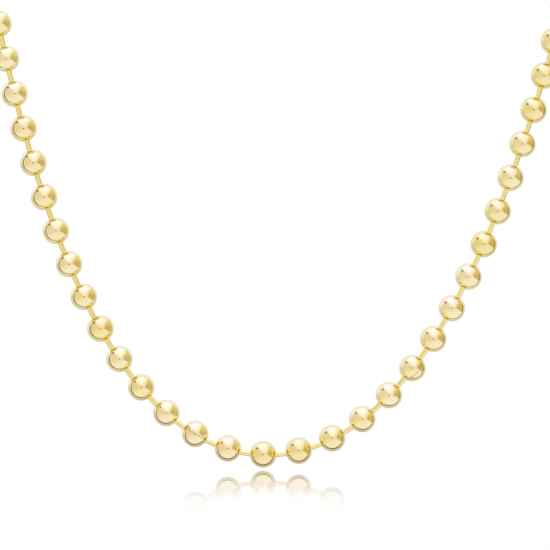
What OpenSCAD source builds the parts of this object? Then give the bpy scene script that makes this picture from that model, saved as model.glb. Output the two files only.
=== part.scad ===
// Ball chain necklace: hollow beads, each drilled through, on short link bars with a ball
// head at both ends. One plain sleeve at the nape holds the two end beads.
// The necklace hangs as it is worn. Its front lies in one upright plane in the curve of a
// freely hanging chain, and the rest runs back round the neck and closes behind it.
// The origin is where the connector rests on the nape. -Y points to the front, +Z up.

/* [Beads] */
// Diameter of a bead
bead_d = 6; // [5:0.1:6.6]
// Thickness of a bead's wall
bead_wall = 0.4; // [0.3:0.05:0.5]

/* [Link bars] */
// Diameter of a bar's shank
bar_d = 1.2; // [0.9:0.05:1.4]
// Play on each side of a shank in a bead's hole
bar_play = 0.25; // [0.2:0.05:0.3]
// How far a bar's head reaches past the hole's edge on each side
head_lip = 0.25; // [0.15:0.05:0.3]
// Play between a bar's head and the edge of the hole that it hangs in
head_play = 0.3; // [0.25:0.05:0.35]

/* [Chain] */
// Distance from the centre of one bead to the next
pitch = 8; // [7.4:0.1:9]
// Number of beads on each side of the lowest one
side_beads = 34; // [31:1:38]

/* [Hanging shape] */
// Radius of the hanging curve at its lowest bead
hang_r = 29.3; // [25:0.1:34]
// Height above the lowest bead up to which the front stays in its plane
front_h = 100; // [85:1:110]
// Height of the nape above the lowest bead
nape_h = 150; // [130:1:170]
// Reach of the bend where the chain leaves the front plane
shoulder_reach = 50; // [35:1:60]
// Reach of the bend that brings the chain behind the neck
nape_reach = 55; // [40:1:70]

/* [Connector] */
// Thickness of the connector's wall
sleeve_wall = 0.4; // [0.3:0.05:0.6]
// Play between an end bead and the connector's wall
sleeve_play = 0.2; // [0.15:0.05:0.3]

/* [Hidden] */
$fn = 48;
gold = [0.93, 0.82, 0.52];
// How far a cutting shape runs past the surface that it cuts
cut_over = 1;

// Bead: inner radius, hole, and how deep the hole's inner and middle edges lie on its axis
bead_r = bead_d / 2;
bead_inner_r = bead_r - bead_wall;
hole_d = bar_d + 2 * bar_play;
hole_edge = sqrt(pow(bead_inner_r, 2) - pow(hole_d / 2, 2));
wall_middle = bead_r - bead_wall / 2;

// Bar: a head hangs behind its hole's inner edge with head_play all round
head_r = hole_d / 2 + head_lip;
head_in = hole_edge - sqrt(pow(head_r + head_play, 2) - pow(hole_d / 2, 2));
head_span = pitch - 2 * head_in;

// Connector: a sleeve with domed ends, long enough to let a bead in between the end beads
sleeve_inner_r = bead_r + sleeve_play;
sleeve_r = sleeve_inner_r + sleeve_wall;
end_span = 2 * bead_d;
mouth_d = bead_d + sleeve_play;
slot_w = bar_d + bar_play;

// Front stretch: the curve of a hanging chain, placed by the length s along it
function asinh(v) = ln(v + sqrt(v * v + 1));
function front_point(s) = [hang_r * asinh(s / hang_r), 0, sqrt(pow(hang_r, 2) + s * s) - hang_r];
function front_slope(s) = [hang_r, 0, s] / norm([hang_r, 0, s]);
front_len = sqrt(front_h * (front_h + 2 * hang_r));

// Turn: one smooth bend from the end of the front stretch to an end bead at the nape,
// measured from the lowest bead, with the nape a given depth behind the front plane
turn_steps = 80;
function turn_corners(depth) = let(start = front_point(front_len), end = [end_span / 2, depth, nape_h])
    [start, start + shoulder_reach * front_slope(front_len), end + [nape_reach, 0, 0], end];
function turn_point(corners, t) = pow(1 - t, 3) * corners[0] + 3 * t * pow(1 - t, 2) * corners[1]
    + 3 * t * t * (1 - t) * corners[2] + pow(t, 3) * corners[3];
function turn_step(corners, i) = norm(turn_point(corners, (i + 1) / turn_steps) - turn_point(corners, i / turn_steps));
function turn_table(corners) =
    [for (i = 0, run = 0; i <= turn_steps; run = run + turn_step(corners, i), i = i + 1) [run, i / turn_steps]];
function turn_length(depth) = turn_table(turn_corners(depth))[turn_steps][0];

// Depth: halving finds the one at which the chain's real length just closes the loop
turn_len = side_beads * pitch - front_len;
depth_limit = turn_len;
halvings = 30;
function depth_between(low, high, left) = let(middle = (low + high) / 2)
    left == 0 ? middle
    : turn_length(middle) > turn_len ? depth_between(low, middle, left - 1)
    : depth_between(middle, high, left - 1);
depth = depth_between(0, depth_limit, halvings);
corners = turn_corners(depth);
turn_shares = turn_table(corners);

// Beads: centre and direction of each, counted from the lowest one out to both sides
function side_point(s) = s <= front_len ? front_point(s)
    : turn_point(corners, lookup(s - front_len, turn_shares));
function bead_at(k) = let(p = side_point(abs(k) * pitch))
    [sign(k) * p.x, p.y - depth + sleeve_r, p.z - nape_h];
function bead_after(k) = bead_at(k == side_beads ? -side_beads : k + 1);
function bead_before(k) = bead_at(k == -side_beads ? side_beads : k - 1);
function unit(v) = v / norm(v);
function bead_axis(k) = unit(bead_after(k) - bead_before(k));

module along(place, direction) {
    translate(place)
        rotate([0, acos(direction.z / norm(direction)), atan2(direction.y, direction.x)])
            children();
}

module bead() {
    difference() {
        sphere(r = bead_r);
        sphere(r = bead_inner_r);
        cylinder(h = bead_d + cut_over, d = hole_d, center = true);
    }
}

module beads() {
    color(gold)
        for (k = [-side_beads:side_beads])
            along(bead_at(k), bead_axis(k)) bead();
}

module link_bar() {
    cylinder(h = head_span, d = bar_d, center = true);
    for (end = [-1, 1])
        translate([0, 0, end * head_span / 2]) sphere(r = head_r);
}

module bars() {
    color(gold)
        for (k = [-side_beads:side_beads - 1]) {
            start = bead_at(k) + wall_middle * bead_axis(k);
            end = bead_at(k + 1) - wall_middle * bead_axis(k + 1);
            along((start + end) / 2, end - start) link_bar();
        }
}

module domed_rod(r) {
    rotate([0, 90, 0])
        rotate_extrude()
            intersection() {
                union() {
                    square([2 * r, end_span], center = true);
                    for (end = [-1, 1])
                        translate([0, end * end_span / 2]) circle(r = r);
                }
                translate([0, -end_span]) square([end_span, 2 * end_span]);
            }
}

module connector() {
    sleeve_len = end_span + 2 * sleeve_r;
    color(gold)
        translate([0, sleeve_r, 0])
            difference() {
                domed_rod(sleeve_r);
                domed_rod(sleeve_inner_r);
                // Hole in both ends for a bar
                rotate([0, 90, 0]) cylinder(h = sleeve_len + cut_over, d = hole_d, center = true);
                // Slot from end to end for the bars, on the side away from the neck
                translate([-sleeve_len / 2 - cut_over, 0, -slot_w / 2])
                    cube([sleeve_len + 2 * cut_over, sleeve_r + cut_over, slot_w]);
                // Mouth that lets an end bead in
                rotate([-90, 0, 0]) cylinder(h = sleeve_r + cut_over, d = mouth_d);
            }
}

beads();
bars();
connector();
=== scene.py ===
"""Ball chain necklace: polished, gold-plated ball beads on short link bars, closed at the nape by
a sleeve connector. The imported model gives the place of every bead. All lengths are in metres."""
import math

import bpy
import numpy as np
from mathutils import Matrix, Vector


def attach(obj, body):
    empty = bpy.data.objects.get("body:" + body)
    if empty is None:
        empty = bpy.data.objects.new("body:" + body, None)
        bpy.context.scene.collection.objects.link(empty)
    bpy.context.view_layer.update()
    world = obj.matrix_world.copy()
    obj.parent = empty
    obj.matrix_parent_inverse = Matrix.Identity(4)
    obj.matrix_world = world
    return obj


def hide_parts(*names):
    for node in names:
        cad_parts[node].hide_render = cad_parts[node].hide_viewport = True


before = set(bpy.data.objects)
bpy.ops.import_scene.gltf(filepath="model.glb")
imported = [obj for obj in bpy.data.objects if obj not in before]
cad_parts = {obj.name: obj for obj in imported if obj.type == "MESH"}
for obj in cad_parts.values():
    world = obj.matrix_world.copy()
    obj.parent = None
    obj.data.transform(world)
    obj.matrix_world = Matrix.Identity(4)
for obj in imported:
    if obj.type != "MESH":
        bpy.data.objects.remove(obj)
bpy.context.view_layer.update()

MM = 0.001

# Bead: a hollow ball with a rounded lip round each of its two holes
BEAD_R = 2.98 * MM
BEAD_WALL = 0.4 * MM
HOLE_R = 0.85 * MM
LIP_ROUND = 0.12 * MM
BEAD_COLUMNS = 42
BEAD_RINGS = 30
LIP_RINGS = 5
INSIDE_RINGS = 8
MOST_BEADS = 200

# Seam: the hairline from hole to hole where a bead's sheet closes
SEAM_SHAPE = [(-1.6, 0.0), (-0.8, 0.5), (0.0, 1.0), (0.8, 0.5), (1.6, 0.0)]  # degrees, share of depth
SEAM_DEPTH = 0.03 * MM
SEAM_WANDER = 55  # degrees to both sides of the far side
SEAMS_IN_SIGHT = {-2: 176, 5: 205}  # bead, degrees round it from the far side

# Link bar: drawn wire with a ball head at both ends, inside the two beads that it joins
BAR_R = 0.6 * MM
HEAD_R = 1.1 * MM
HEAD_PLAY = 0.3 * MM
NECK_ROUND = 0.25 * MM
POLE_ANGLE = math.radians(86)
HEAD_RINGS = 12
NECK_RINGS = 6
BAR_COLUMNS = 28

# Connector: a sleeve with domed ends, a hole in both, a slot all along and a mouth in the middle
SLEEVE_WALL = 0.4 * MM
SLEEVE_PLAY = 0.2 * MM
SLOT_W = 1.45 * MM
SLEEVE_EDGE = 0.1 * MM
SLEEVE_EDGE_STEPS = 3
SLEEVE_EDGE_ANGLE = math.radians(50)
SLEEVE_COLUMNS = 72
DOME_RINGS = 17
MOUTH_RINGS = 19
STRAIGHT_RINGS = 10
FLANK_TURN = 1.45  # radians from the slot, up to which the sheet's columns follow the mouth's edge
FLANK_SHARE = 0.22  # of the columns

# Camera, placed from the lowest bead
CAMERA_BACK = 600.0 * MM
CAMERA_RIGHT = 1.41 * MM
CAMERA_UP = 40.11 * MM
CAMERA_ROLL = -1.78
CAMERA_VIEW = 11.69

# Studio, placed from the middle of the front stretch
FRONT_MIDDLE_UP = 50.0 * MM
FLOOR_GAP = 0.35 * MM
FLOOR_HALF = 1500.0 * MM
REFLECTION = 0.95
REFLECTION_REACH = 113.0 * MM
REFLECTION_FALL = 1.7
REFLECTION_INNER = 25.0 * MM
REFLECTION_OUTER = 33.0 * MM
REFLECTION_START = (-6.0 * MM, -3.0 * MM)
FLAT_VIEW = (0.885, 0.905)  # how far from straight down the floor is seen, from 0 to 1
ROOM_R = 3000.0 * MM
ROOM_RINGS = 40
ROOM_COLUMNS = 80
ROOM_TOP = 1.55  # radians, just under the pole
LENS_R = 58.0 * MM
LENS_AHEAD = 10.0 * MM
LENS_SIDES = 24
FLAG_AWAY = 20.0 * MM
SHADE_MIDDLE = 14.0  # mm to both sides, up to which the floor's shade is full
SHADE_END = 42.0  # mm to both sides, where it ends

# Light levels in the room, as red, green and blue
WALL = (0.83, 0.79, 0.97, 1)
FLOOR_GLOW = (0.96, 0.97, 1.53, 1)
TAN_WALL = (0.61, 0.53, 0.41, 1)
TAN_TOP = (0.82, 0.75, 0.66, 1)
CEILING = (1.05, 1.01, 1.66, 1)
SOFTBOX = (1.12, 1.19, 2.8, 1)
AMBER = (0.92, 0.91, 1.0, 1)
LOW_BACKDROP = (0.74, 0.74, 1.0, 1)
HIGH_BACKDROP = (0.90, 0.99, 1.75, 1)
WHITE = (1.0, 1.0, 1.0, 1)
FLOOR_TINT = (1.0, 0.98, 0.91, 1)
BEHIND = (1.0, 1 / 0.98, 1 / 0.91, 1)
DARK = (0.17, 0.10, 0.0, 1)
DIM = (0.22, 0.18, 0.11, 1)
SHADOW = (0.60, 0.60, 0.78, 1)
RIM = (0.86, 0.83, 0.72, 1)

# Flags beside the front of the chain: their edges at some beads, as depths in mm behind the chain
FLAG_BEADS = [-17, -5, -2, 2, 5, 17]
FLAG_FRONT = [-2.6, -2.4, -0.9, -0.9, 2.4, 2.4]
FLAG_BACK = [1.0, 1.3, 3.5, 3.5, 5.4, 5.4]
SHADE_BACK = [45, 45, 45, 45, 45, 45]

# Parts of the room's light, as a mirror ball shows them. A pair says from where to where one sets in.
WALL_EDGE = (0.25, 0.33)
WALL_LEAN = 0.31
WALL_FOOT = (0.22, 0.27)
WALL_FOOT_LEAN = 0.7
WALL_RISE = (0.12, 0.45)
CEILING_EDGE = (-0.14, 0.30)
CEILING_LEAN = 1.05
CEILING_FOOT = (0.0, 0.12)
SOFTBOX_EDGE = (0.1, 0.6)
SOFTBOX_SIDE = 0.1
SOFTBOX_LEAN = 1.4
AMBER_EDGE = (0.16, -0.04)
STAND_X = -0.48
STAND_Z = 0.43
STAND_EDGE = (0.11, 0.05)
STAND_SHARE = 0.85
FLOOR_EDGE = (0.2, -0.42)
FLOOR_LEAN = 0.4
BACKDROP_RISE = (-0.2, 0.3)
BACKDROP_LOW = (0.24, 0.30)
BACKDROP_HIGH = (0.08, 0.60)
BACKDROP_LEFT = (-0.3, -0.7)
BACKDROP_LEFT_SHIFT = 0.18
BACKDROP_RIGHT = (0.4, 0.7)
BACKDROP_RIGHT_FOOT = (-0.28, -0.08)
BACKDROP_RIGHT_SHIFT = 0.26
RIM_EDGE = (0.76, 0.96)
BEHIND_EDGE = (0.975, 0.985)

rng = np.random.default_rng(11)
plating = np.random.default_rng(5).uniform(0, 1, MOST_BEADS)  # depth of colour of each bead's plate


# Places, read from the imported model

def unit(v):
    """The vector v at length 1."""
    return v / np.linalg.norm(v)


def ball_centre(points):
    """Centre of the ball whose surface holds these points."""
    rows = np.c_[2 * points, np.ones(len(points))]
    return np.linalg.lstsq(rows, (points ** 2).sum(1), rcond=None)[0][:3]


def bead_near(points, guess):
    """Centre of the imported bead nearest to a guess."""
    reach = BEAD_R + 1.0 * MM
    for _ in range(10):
        guess = points[np.linalg.norm(points - guess, axis=1) < reach].mean(0)
    for _ in range(4):
        away = np.linalg.norm(points - guess, axis=1)
        guess = ball_centre(points[(away > BEAD_R - BEAD_WALL / 2) & (away < reach)])
    return guess


def bead_ring():
    """Bead centres in order round the whole loop: the lowest one, up the right side, and back."""
    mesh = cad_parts["beads"].data
    points = np.empty(len(mesh.vertices) * 3, np.float32)
    mesh.vertices.foreach_get("co", points)
    points = points.reshape(-1, 3).astype(float)
    ring = [bead_near(points, points[points[:, 2].argmin()] + [0, 0, BEAD_R])]
    ring.append(bead_near(points, ring[0] + [2.6 * BEAD_R, 0, 0]))
    step = np.linalg.norm(ring[1] - ring[0])
    while len(ring) < MOST_BEADS and np.linalg.norm(ring[-1] - ring[0]) > BEAD_R:
        ring.append(bead_near(points, ring[-1] + step * unit(ring[-1] - ring[-2])))
    return np.array(ring[:-1])


centres = bead_ring()
count = len(centres)
side = count // 2
axes = np.array([unit(centres[(k + 1) % count] - centres[k - 1]) for k in range(count)])
pitch = float(np.linalg.norm(centres[1] - centres[0]))
low_bead = Vector(centres[0])
front_middle = low_bead + Vector((0, 0, FRONT_MIDDLE_UP))


# Meshes

def turned_to(direction, roll):
    """Three rows that turn Z to a direction, after a turn about Z."""
    facing = Vector(direction).to_track_quat("Z", "Y").to_matrix()
    return np.array(facing @ Matrix.Rotation(roll, 3, "Z"))


def lathe_quads(rings, columns, closed):
    """Quads between the rings of a turned shape, each ring with the same columns."""
    i = np.arange(rings if closed else rings - 1)[:, None]
    j = np.arange(columns)[None, :]
    below, after = (i + 1) % rings * columns, (j + 1) % columns
    quads = np.stack([i * columns + j, i * columns + after, below + after, below + j], -1)
    return quads.reshape(-1, 4)


def turned(profile, angles):
    """Points and normals of a profile turned about Z. Its rows are radius, height, and normal."""
    r, z, nr, nz = (np.array(profile)[:, i, None] for i in range(4))
    c, s = np.cos(angles)[None, :], np.sin(angles)[None, :]
    points = np.stack([r * c, r * s, z + 0 * c], -1).reshape(-1, 3)
    normals = np.stack([nr * c, nr * s, nz + 0 * c], -1).reshape(-1, 3)
    return points, normals


def arc(r, z, radius, angles, outward=1):
    """Profile rows along an arc about (r, z), with normals away from it or towards it."""
    return [(r + radius * math.cos(a), z + radius * math.sin(a), outward * math.cos(a), outward * math.sin(a))
            for a in angles]


def joined(name, parts):
    """One smooth mesh from parts, each of points, normals, faces and the points' own places."""
    points = np.concatenate([part[0] for part in parts])
    normals = np.concatenate([part[1] for part in parts])
    own = np.concatenate([part[3] for part in parts]) / MM
    starts = np.cumsum([0] + [len(part[0]) for part in parts])
    faces = [[v + start for v in face] for part, start in zip(parts, starts.tolist()) for face in part[2]]
    mesh = bpy.data.meshes.new(name)
    mesh.from_pydata(points.tolist(), [], faces, shade_flat=False)
    mesh.normals_split_custom_set_from_vertices(normals.tolist())
    own_place = mesh.attributes.new("own_place", "FLOAT_VECTOR", "POINT")
    own_place.data.foreach_set("vector", own.astype(np.float32).ravel())
    piece = bpy.data.objects.new(name, mesh)
    bpy.context.scene.collection.objects.link(piece)
    return piece


def bead_profile():
    """Closed outline of a bead's wall, and how many of its first rows are the outside."""
    lip_r = HOLE_R + LIP_ROUND
    lip_z = math.sqrt((BEAD_R - LIP_ROUND) ** 2 - lip_r ** 2)
    lip_angle = math.atan2(lip_z, lip_r)
    inside_r = BEAD_R - BEAD_WALL
    inside_angle = math.acos(HOLE_R / inside_r)
    outside = arc(0, 0, BEAD_R, np.linspace(-lip_angle, lip_angle, BEAD_RINGS))
    top_lip = arc(lip_r, lip_z, LIP_ROUND, np.linspace(lip_angle, math.pi, LIP_RINGS + 1)[1:])
    inside = arc(0, 0, inside_r, np.linspace(inside_angle, -inside_angle, INSIDE_RINGS), outward=-1)
    bottom_lip = [(r, -z, nr, -nz) for r, z, nr, nz in reversed(top_lip)]
    return outside + top_lip + inside + bottom_lip


def bead(k, seam_turn):
    """One bead at its place in the ring, with its seam turned about the chain."""
    seam_angles, seam_depths = np.array(SEAM_SHAPE).T
    plain = np.linspace(seam_angles[-1], 360 + seam_angles[0], BEAD_COLUMNS + 2)[1:-1]
    angles = np.concatenate([seam_angles, plain])
    depths = np.concatenate([seam_depths, 0 * plain]) * SEAM_DEPTH
    slopes = np.gradient(depths) / (np.gradient(np.radians(angles)) * BEAD_R)
    slopes[len(seam_depths) - 1] /= 2  # the wide column beside the seam starts nearly flat
    profile = bead_profile()
    points, normals = turned(profile, np.radians(angles))
    outside = np.repeat(np.arange(len(profile)) < BEAD_RINGS, len(angles))[:, None]
    sideways = np.cross([0, 0, 1.0], normals)
    points = points - normals * np.tile(depths, len(profile))[:, None] * outside
    normals = normals + sideways * np.tile(slopes, len(profile))[:, None] * outside
    normals /= np.linalg.norm(normals, axis=1)[:, None]
    turn = turned_to(axes[k], seam_turn)
    quads = lathe_quads(len(profile), len(angles), closed=True)
    return points @ turn.T + centres[k], normals @ turn.T, quads.tolist(), points


def far_side(k):
    """Turn about bead k's axis that brings its seam to the side away from the front."""
    rows = turned_to(axes[k], 0.0)
    back = rows.T @ np.array([0, 1.0, 0])
    return math.atan2(back[1], back[0])


def beads(name, ks):
    """The beads of one side of the chain. Apart from two, their seams lie out of sight."""
    parts = []
    for k in ks:
        wander = rng.uniform(-SEAM_WANDER, SEAM_WANDER)
        parts.append(bead(k, far_side(k) + math.radians(SEAMS_IN_SIGHT.get(k, wander))))
    piece = joined(name, parts)
    depth = np.repeat(plating[list(ks)], [len(part[0]) for part in parts])
    plate = piece.data.attributes.new("plate_depth", "FLOAT", "POINT")
    plate.data.foreach_set("value", depth.astype(np.float32))
    return piece


def bar_profile(head_z):
    """Half of a bar's outline, from the pole of a head to the middle of the shank."""
    neck_r = BAR_R + NECK_ROUND
    neck_z = head_z - math.sqrt((HEAD_R + NECK_ROUND) ** 2 - neck_r ** 2)
    neck_angle = math.atan2(neck_z - head_z, neck_r)
    head = arc(0, head_z, HEAD_R, np.linspace(POLE_ANGLE, neck_angle, HEAD_RINGS))
    turn_in = np.linspace(neck_angle + math.pi, math.pi, NECK_RINGS)[1:]
    neck = arc(neck_r, neck_z, NECK_ROUND, turn_in, outward=-1)
    return head + neck


def bar(k):
    """The link bar between bead k and the next one."""
    after = (k + 1) % count
    middle_wall = BEAD_R - BEAD_WALL / 2
    start = centres[k] + middle_wall * axes[k]
    end = centres[after] - middle_wall * axes[after]
    hole_edge = math.sqrt((BEAD_R - BEAD_WALL) ** 2 - HOLE_R ** 2)
    head_in = hole_edge - math.sqrt((HEAD_R + HEAD_PLAY) ** 2 - HOLE_R ** 2)
    head_z = pitch / 2 - head_in
    half = bar_profile(head_z)
    profile = [(r, -z, nr, -nz) for r, z, nr, nz in half] + half[::-1]
    points, normals = turned(profile, np.linspace(0, 2 * math.pi, BAR_COLUMNS, endpoint=False))
    faces = lathe_quads(len(profile), BAR_COLUMNS, closed=False).tolist()
    low_tip, high_tip = len(points), len(points) + 1
    tips = np.array([[0, 0, -head_z - HEAD_R], [0, 0, head_z + HEAD_R]])
    points, normals = np.concatenate([points, tips]), np.concatenate([normals, [[0, 0, -1], [0, 0, 1]]])
    high_ring = low_tip - BAR_COLUMNS
    for j in range(BAR_COLUMNS):
        beside = (j + 1) % BAR_COLUMNS
        faces.append([beside, j, low_tip])
        faces.append([high_ring + j, high_ring + beside, high_tip])
    turn = turned_to(end - start, rng.uniform(0, math.pi))
    return points @ turn.T + (start + end) / 2, normals @ turn.T, faces, points


def connector():
    """The sleeve: a sheet bent round the two end beads, then given its wall and rounded edges."""
    half_span = float(np.linalg.norm(centres[side] - centres[side + 1])) / 2
    r = BEAD_R + SLEEVE_PLAY + SLEEVE_WALL / 2
    mouth_r = BEAD_R + SLEEVE_PLAY / 2
    corner = math.asin(SLOT_W / 2 / mouth_r)
    dome = np.linspace(math.acos(HOLE_R / r), 0, DOME_RINGS)
    straight = np.linspace(half_span, mouth_r * math.cos(corner), STRAIGHT_RINGS)[1:-1]
    mouth = np.linspace(corner, math.pi / 2, MOUTH_RINGS)
    x = np.concatenate([half_span + r * np.sin(dome), straight, mouth_r * np.cos(mouth)])
    radius = np.concatenate([r * np.cos(dome), np.full(len(x) - len(dome), r)])
    gap = np.full(len(x), SLOT_W / 2)
    gap[-len(mouth):] = mouth_r * np.sin(mouth)
    x, radius, gap = (np.concatenate([a, s * a[-2::-1]]) for a, s in ((x, -1), (radius, 1), (gap, 1)))
    opening = np.arcsin(gap / radius)
    share = np.linspace(0, 1, SLEEVE_COLUMNS + 1)
    share_marks = [0, FLANK_SHARE, 1 - FLANK_SHARE, 1]
    turn = np.array([np.interp(share, share_marks, [a, FLANK_TURN, 2 * math.pi - FLANK_TURN, 2 * math.pi - a])
                     for a in opening])
    x, radius = x[:, None], radius[:, None]
    points = np.stack([x + 0 * turn, radius * np.cos(turn), radius * np.sin(turn)], -1).reshape(-1, 3)
    points += (centres[side] + centres[side + 1]) / 2
    faces = lathe_quads(len(x), SLEEVE_COLUMNS + 1, closed=False)
    faces = faces[faces[:, 1] % (SLEEVE_COLUMNS + 1) != 0]
    sheet = bpy.data.meshes.new("sleeve_sheet")
    sheet.from_pydata(points.tolist(), [], faces.tolist(), shade_flat=False)
    piece = bpy.data.objects.new("sleeve_connector", sheet)
    bpy.context.scene.collection.objects.link(piece)
    wall = piece.modifiers.new("wall", "SOLIDIFY")
    wall.thickness = SLEEVE_WALL
    wall.offset = 0
    wall.use_even_offset = True
    edge = piece.modifiers.new("edge", "BEVEL")
    edge.width = SLEEVE_EDGE
    edge.segments = SLEEVE_EDGE_STEPS
    edge.limit_method = "ANGLE"
    edge.angle_limit = SLEEVE_EDGE_ANGLE
    edge.harden_normals = True
    finished = bpy.data.meshes.new_from_object(piece.evaluated_get(bpy.context.evaluated_depsgraph_get()))
    piece.modifiers.clear()
    piece.data = finished
    bpy.data.meshes.remove(sheet)
    return piece


# Materials

class Tone:
    """A value that changes over a surface. Arithmetic on it adds Math nodes to its material."""

    def __init__(self, finish, socket):
        self.finish = finish
        self.socket = socket

    def math(self, operation, *values):
        return self.finish.node("ShaderNodeMath", {"operation": operation}, dict(enumerate(values)))

    def __add__(self, other):
        return self.math("ADD", self, other)

    def __sub__(self, other):
        return self.math("SUBTRACT", self, other)

    def __rsub__(self, other):
        return self.math("SUBTRACT", other, self)

    def __mul__(self, other):
        return self.math("MULTIPLY", self, other)

    def __pow__(self, other):
        return self.math("POWER", self, other)

    __radd__ = __add__
    __rmul__ = __mul__


class Finish:
    """A material that is being made: every node is added by its type, settings and sockets."""

    def __init__(self, name):
        self.material = bpy.data.materials.new(name)
        self.material.use_nodes = True
        self.tree = self.material.node_tree
        self.tree.nodes.clear()

    def node(self, kind, settings=None, sockets=None, out=0):
        made = self.tree.nodes.new(kind)
        for name, value in (settings or {}).items():
            setattr(made, name, value)
        for name, value in (sockets or {}).items():
            if isinstance(value, Tone):
                self.tree.links.new(value.socket, made.inputs[name])
            else:
                made.inputs[name].default_value = value
        return Tone(self, made.outputs[out]) if made.outputs else None

    def step(self, value, low, high):
        """0 below low, 1 above high, and smooth between them. With low above high it falls."""
        return self.node("ShaderNodeMapRange", {"interpolation_type": "SMOOTHSTEP"},
                         {"Value": value, "From Min": low, "From Max": high})

    def span(self, value, low, high, soft):
        """1 between low and high, 0 outside them, with soft edges."""
        return self.step(value, low - soft, low + soft) * self.step(value, high + soft, high - soft)

    def blend(self, share, colour, other):
        """Colour where share is 0, other where it is 1."""
        return self.node("ShaderNodeMix", {"data_type": "RGBA"}, {0: share, 6: colour, 7: other}, out=2)

    def parts(self, vector):
        """The three numbers of a vector."""
        return [self.node("ShaderNodeSeparateXYZ", None, {0: vector}, out=i) for i in range(3)]

    def speckle(self, place, size, detail=2.0, stretch=(1, 1, 1)):
        """Noise from 0 to 1 on a place in millimetres, with blotches of about this size."""
        stretched = self.node("ShaderNodeVectorMath", {"operation": "MULTIPLY"},
                              {0: place, 1: tuple(s / size for s in stretch)})
        return self.node("ShaderNodeTexNoise", None, {"Vector": stretched, "Scale": 1.0, "Detail": detail})

    def place(self):
        """Where a point lies on the object, in millimetres."""
        spot = self.node("ShaderNodeTexCoord", None, None, out=3)
        return self.node("ShaderNodeVectorMath", {"operation": "SCALE"}, {0: spot, 3: 1 / MM})

    def shown(self, shader):
        """The finished material."""
        self.node("ShaderNodeOutputMaterial", None, {0: shader})
        return self.material


# Where a bead's finish changes, in mm from its middle, its axis or its seam's line
WALL_MIDDLE = (2.86, 2.78)
WORN_RING = (1.3, 0.9)
SEAM_HALF = 0.08
SEAM_SOFT = 0.03
SEAM_SIDE = (0.2, 0.4)

GOLD = (0.97, 0.83, 0.32, 1)
PALE_GOLD = (0.978, 0.846, 0.355, 1)
WORN_GOLD = (0.95, 0.79, 0.25, 1)
WIRE_GOLD = (1.0, 0.85, 0.28, 1)
SEAM_BROWN = (0.42, 0.24, 0.06, 1)
BARE_BRASS = (0.62, 0.42, 0.16, 1)


def polished(finish, place, colour, roughness, relief=0.0):
    """Polished plate: a metal shader whose surface waves a little and has fine polishing lines."""
    waves = finish.speckle(place, 1.6, detail=1.0)
    lines = finish.speckle(place, 0.12, detail=3.0, stretch=(1, 0.3, 1))
    height = waves + 0.02 * lines + relief
    bump = finish.node("ShaderNodeBump", None, {"Strength": 1.0, "Distance": 0.004 * MM, "Height": height})
    haze = finish.speckle(place, 2.2)
    shader = finish.node("ShaderNodeBsdfPrincipled", None, {
        "Base Color": colour, "Metallic": 1.0, "Roughness": roughness + 0.03 * haze, "Normal": bump})
    return finish.shown(shader)


def bead_gold():
    """Plated bead: bright outside, duller round its holes, brown in its seam, brass inside.
    The plate's colour is a little deeper on one bead than on the next."""
    finish = Finish("bead_gold")
    own = finish.node("ShaderNodeAttribute", {"attribute_name": "own_place"}, None, out=1)
    x, y, z = finish.parts(own)
    from_centre = finish.node("ShaderNodeVectorMath", {"operation": "LENGTH"}, {0: own}, out=1)
    from_axis = (x * x + y * y) ** 0.5
    inside = finish.step(from_centre, *WALL_MIDDLE)
    worn = finish.step(from_axis, *WORN_RING)
    seam = finish.span(y, -SEAM_HALF, SEAM_HALF, SEAM_SOFT) * finish.step(x, *SEAM_SIDE)
    place = finish.place()
    blush = finish.speckle(place, 4.0)
    depth = finish.node("ShaderNodeAttribute", {"attribute_name": "plate_depth"}, None, out=2)
    colour = finish.blend(0.2 * blush + 0.9 * depth - 0.1, PALE_GOLD, WORN_GOLD)
    colour = finish.blend(0.7 * seam * (1 - inside), colour, SEAM_BROWN)
    colour = finish.blend(inside, colour, BARE_BRASS)
    roughness = 0.035 + 0.08 * worn + 0.35 * inside
    return polished(finish, place, colour, roughness)


def bar_gold():
    """Plated wire: drawing lines run along it."""
    finish = Finish("bar_gold")
    own = finish.node("ShaderNodeAttribute", {"attribute_name": "own_place"}, None, out=1)
    drawn = finish.speckle(own, 0.1, stretch=(1, 1, 0.04))
    place = finish.place()
    colour = finish.blend(0.3 * drawn, WIRE_GOLD, WORN_GOLD)
    return polished(finish, place, colour, 0.12 + 0.08 * drawn, 0.1 * drawn)


def connector_gold():
    """Plated sheet with faint lines from forming."""
    finish = Finish("connector_gold")
    place = finish.place()
    formed = finish.speckle(place, 0.25, stretch=(0.05, 1, 1))
    colour = finish.blend(0.4 * formed, GOLD, WORN_GOLD)
    return polished(finish, place, colour, 0.06 + 0.06 * formed, 0.1 * formed)


# Pieces

def dressed(piece, material, node):
    """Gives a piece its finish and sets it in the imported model's place."""
    piece.data.materials.clear()
    piece.data.materials.append(material)
    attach(piece, "root")
    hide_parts(node)
    return piece


bead_finish = bead_gold()
dressed(beads("beads_right", range(0, side + 1)), bead_finish, "beads")
dressed(beads("beads_left", range(-side, 0)), bead_finish, "beads")
dressed(joined("link_bars", [bar(k) for k in range(-side, side)]), bar_gold(), "bars")
dressed(connector(), connector_gold(), "connector")


# Studio

def card(name, corners, material, seen=False):
    """A flat card or a floor, which isn't part of the necklace."""
    mesh = bpy.data.meshes.new(name)
    quads = [[i, i + 1, i + 3, i + 2] for i in range(0, len(corners) - 2, 2)]
    mesh.from_pydata(corners, [], quads)
    mesh.materials.append(material)
    piece = bpy.data.objects.new(name, mesh)
    bpy.context.scene.collection.objects.link(piece)
    piece.visible_camera = seen
    return piece


def glow(name, colour, strength):
    """An even light of one colour."""
    finish = Finish(name)
    return finish.shown(finish.node("ShaderNodeEmission", None, {"Color": colour, "Strength": strength}))


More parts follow.
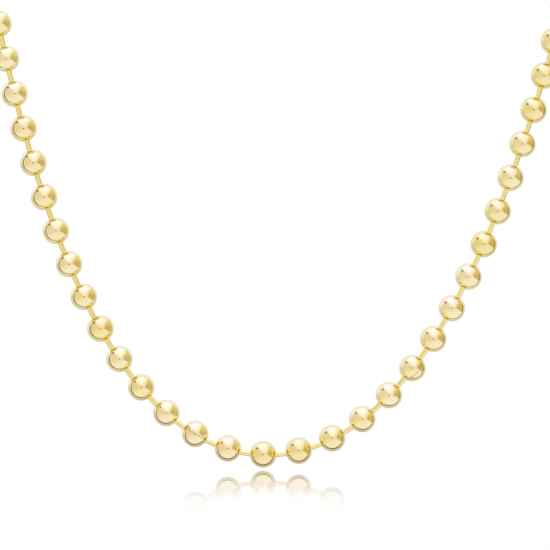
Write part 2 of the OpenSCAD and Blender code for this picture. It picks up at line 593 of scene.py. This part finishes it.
def floor_finish():
    """Glossy white floor, in which the front of the chain is mirrored and soon fades."""
    finish = Finish("white_floor")
    spot = finish.node("ShaderNodeTexCoord", None, None, out=3)
    across, along, _ = finish.parts(spot)
    ahead = low_bead.y - along
    left = 1 - finish.node("ShaderNodeMath", {"operation": "MULTIPLY", "use_clamp": True},
                           {0: ahead, 1: 1 / REFLECTION_REACH})
    flat_view = finish.step(finish.node("ShaderNodeLayerWeight", None, {"Blend": 0.5}, out=1), *FLAT_VIEW)
    near = finish.step(across ** 2, REFLECTION_OUTER ** 2, REFLECTION_INNER ** 2)
    share = REFLECTION * finish.step(ahead, *REFLECTION_START) * left ** REFLECTION_FALL * flat_view * near
    white = finish.node("ShaderNodeEmission", None, {"Color": WHITE, "Strength": 1.0})
    mirror = finish.node("ShaderNodeBsdfGlossy", None, {"Color": FLOOR_TINT, "Roughness": 0.02})
    return finish.shown(finish.node("ShaderNodeMixShader", None, {0: share, 1: white, 2: mirror}))


def room_finish():
    """Light of the room by direction. Its parts are laid out as a mirror ball on the set shows
    them from the front: x to the right and z up, from -1 to 1."""
    finish = Finish("room_light")
    spot = finish.node("ShaderNodeTexCoord", None, None, out=3)
    direction = finish.node("ShaderNodeVectorMath", {"operation": "NORMALIZE"}, {0: spot})
    _, back, rise = finish.parts(direction)
    halfway = finish.node("ShaderNodeVectorMath", {"operation": "ADD"}, {0: direction, 1: (0, -1, 0)})
    x, _, z = finish.parts(finish.node("ShaderNodeVectorMath", {"operation": "NORMALIZE"}, {0: halfway}))
    right_edge = x - WALL_LEAN * z
    tan_wall = finish.step(right_edge, *WALL_EDGE) * finish.step(z + WALL_FOOT_LEAN * x, *WALL_FOOT)
    tan = finish.blend(finish.step(z, *WALL_RISE), TAN_WALL, TAN_TOP)
    ceiling = finish.step(z + CEILING_LEAN * x, *CEILING_EDGE)
    ceiling = ceiling * finish.step(right_edge, *reversed(WALL_EDGE)) * finish.step(z, *CEILING_FOOT)
    rightward = finish.node("ShaderNodeMath", {"operation": "MAXIMUM"}, {0: x - SOFTBOX_SIDE, 1: 0.0})
    inward = z - SOFTBOX_LEAN * rightward
    above = finish.blend(finish.step(inward, *SOFTBOX_EDGE), CEILING, SOFTBOX)
    above = finish.blend(finish.step(inward, *AMBER_EDGE), above, AMBER)
    stand = finish.step(((x - STAND_X) ** 2 + (z - STAND_Z) ** 2) ** 0.5, *STAND_EDGE)
    high = finish.step(rise, *BACKDROP_RISE)
    to_left = BACKDROP_LEFT_SHIFT * finish.step(x, *BACKDROP_LEFT)
    to_right = BACKDROP_RIGHT_SHIFT * finish.step(x, *BACKDROP_RIGHT) * finish.step(z, *BACKDROP_RIGHT_FOOT)
    low, full = (at_foot + (at_top - at_foot) * high for at_foot, at_top in zip(BACKDROP_LOW, BACKDROP_HIGH))
    backdrop = finish.step(back + to_left - to_right, low, full)
    light = finish.blend(finish.step(z - FLOOR_LEAN * x, *FLOOR_EDGE), WALL, FLOOR_GLOW)
    light = finish.blend(tan_wall, light, tan)
    light = finish.blend(ceiling, light, above)
    light = finish.blend(STAND_SHARE * stand, light, DARK)
    light = finish.blend(backdrop, light, finish.blend(high, LOW_BACKDROP, HIGH_BACKDROP))
    light = finish.blend(finish.step(back, *RIM_EDGE), light, RIM)
    light = finish.blend(finish.step(back, *BEHIND_EDGE), light, BEHIND)
    return finish.shown(finish.node("ShaderNodeEmission", None, {"Color": light, "Strength": 1.0}))


def room():
    """A large ball round the set, which only reflections see."""
    mesh = bpy.data.meshes.new("room")
    profile = arc(0, 0, ROOM_R, np.linspace(-ROOM_TOP, ROOM_TOP, ROOM_RINGS))
    points, _ = turned(profile, np.linspace(0, 2 * math.pi, ROOM_COLUMNS, endpoint=False))
    mesh.from_pydata(points.tolist(), [], lathe_quads(ROOM_RINGS, ROOM_COLUMNS, closed=False).tolist())
    mesh.materials.append(room_finish())
    piece = bpy.data.objects.new("room", mesh)
    piece.location = front_middle
    bpy.context.scene.collection.objects.link(piece)
    piece.visible_camera = False


def shade_finish():
    """A grey shade over the floor behind the lowest beads, which thins out to both sides."""
    finish = Finish("floor_shade")
    across, _, _ = finish.parts(finish.place())
    share = finish.step(across ** 2, SHADE_END ** 2, SHADE_MIDDLE ** 2)
    clear = finish.node("ShaderNodeBsdfTransparent")
    grey = finish.node("ShaderNodeEmission", None, {"Color": SHADOW, "Strength": 1.0})
    return finish.shown(finish.node("ShaderNodeMixShader", None, {0: share, 1: clear, 2: grey}))


def flag(name, ks, front, back, material):
    """A card that follows the outside of the chain and edges the reflections."""
    corners = []
    for k in ks:
        outward = np.cross([0, 1.0, 0], axes[k])
        for edge in (front, back):
            behind = np.interp(k, FLAG_BEADS, edge) * MM
            corners.append(Vector(centres[k] + outward * FLAG_AWAY) + Vector((0, behind, 0)))
    return card(name, corners, material)


room()
# The floor is level in the picture, in which the chain hangs a little askew
floor_middle = low_bead - Vector((0, 0, BEAD_R + FLOOR_GAP))
rightward = Matrix.Rotation(math.radians(CAMERA_ROLL), 3, "Y") @ Vector((1, 0, 0))
floor = card("floor", [floor_middle + x * rightward + Vector((0, y, 0)) for x in (-FLOOR_HALF, FLOOR_HALF)
                       for y in (-FLOOR_HALF, FLOOR_HALF)], floor_finish(), seen=True)
floor.visible_glossy = False
flag("flag_left", range(-17, 4), FLAG_FRONT, FLAG_BACK, glow("dark_flag", DARK, 1.0))
flag("flag_right", range(3, 18), FLAG_FRONT, FLAG_BACK, glow("dim_flag", DIM, 1.0))
flag("flag_behind", range(-5, 6), FLAG_BACK, SHADE_BACK, shade_finish())

camera_data = bpy.data.cameras.new("camera")
camera_data.angle = math.radians(CAMERA_VIEW)
camera = bpy.data.objects.new("camera", camera_data)
camera.location = low_bead + Vector((CAMERA_RIGHT, -CAMERA_BACK, CAMERA_UP))
camera.rotation_euler = (math.radians(90), math.radians(CAMERA_ROLL), 0)
bpy.context.scene.collection.objects.link(camera)
bpy.context.scene.camera = camera

# The camera's own dark spot in every bead
lens = bpy.data.meshes.new("lens")
rim = [camera.location + Vector((LENS_R * math.cos(a), -LENS_AHEAD, LENS_R * math.sin(a)))
       for a in np.linspace(0, 2 * math.pi, LENS_SIDES, endpoint=False)]
lens.from_pydata(rim, [], [list(range(LENS_SIDES))])
lens.materials.append(glow("lens_black", DARK, 1.0))
lens_card = bpy.data.objects.new("lens", lens)
bpy.context.scene.collection.objects.link(lens_card)
lens_card.visible_camera = False

scene = bpy.context.scene
scene.view_settings.view_transform = "Standard"
world = bpy.data.worlds.new("white")
world.use_nodes = True
world.node_tree.nodes["Background"].inputs["Color"].default_value = (1, 1, 1, 1)
scene.world = world

bpy.context.view_layer.update()
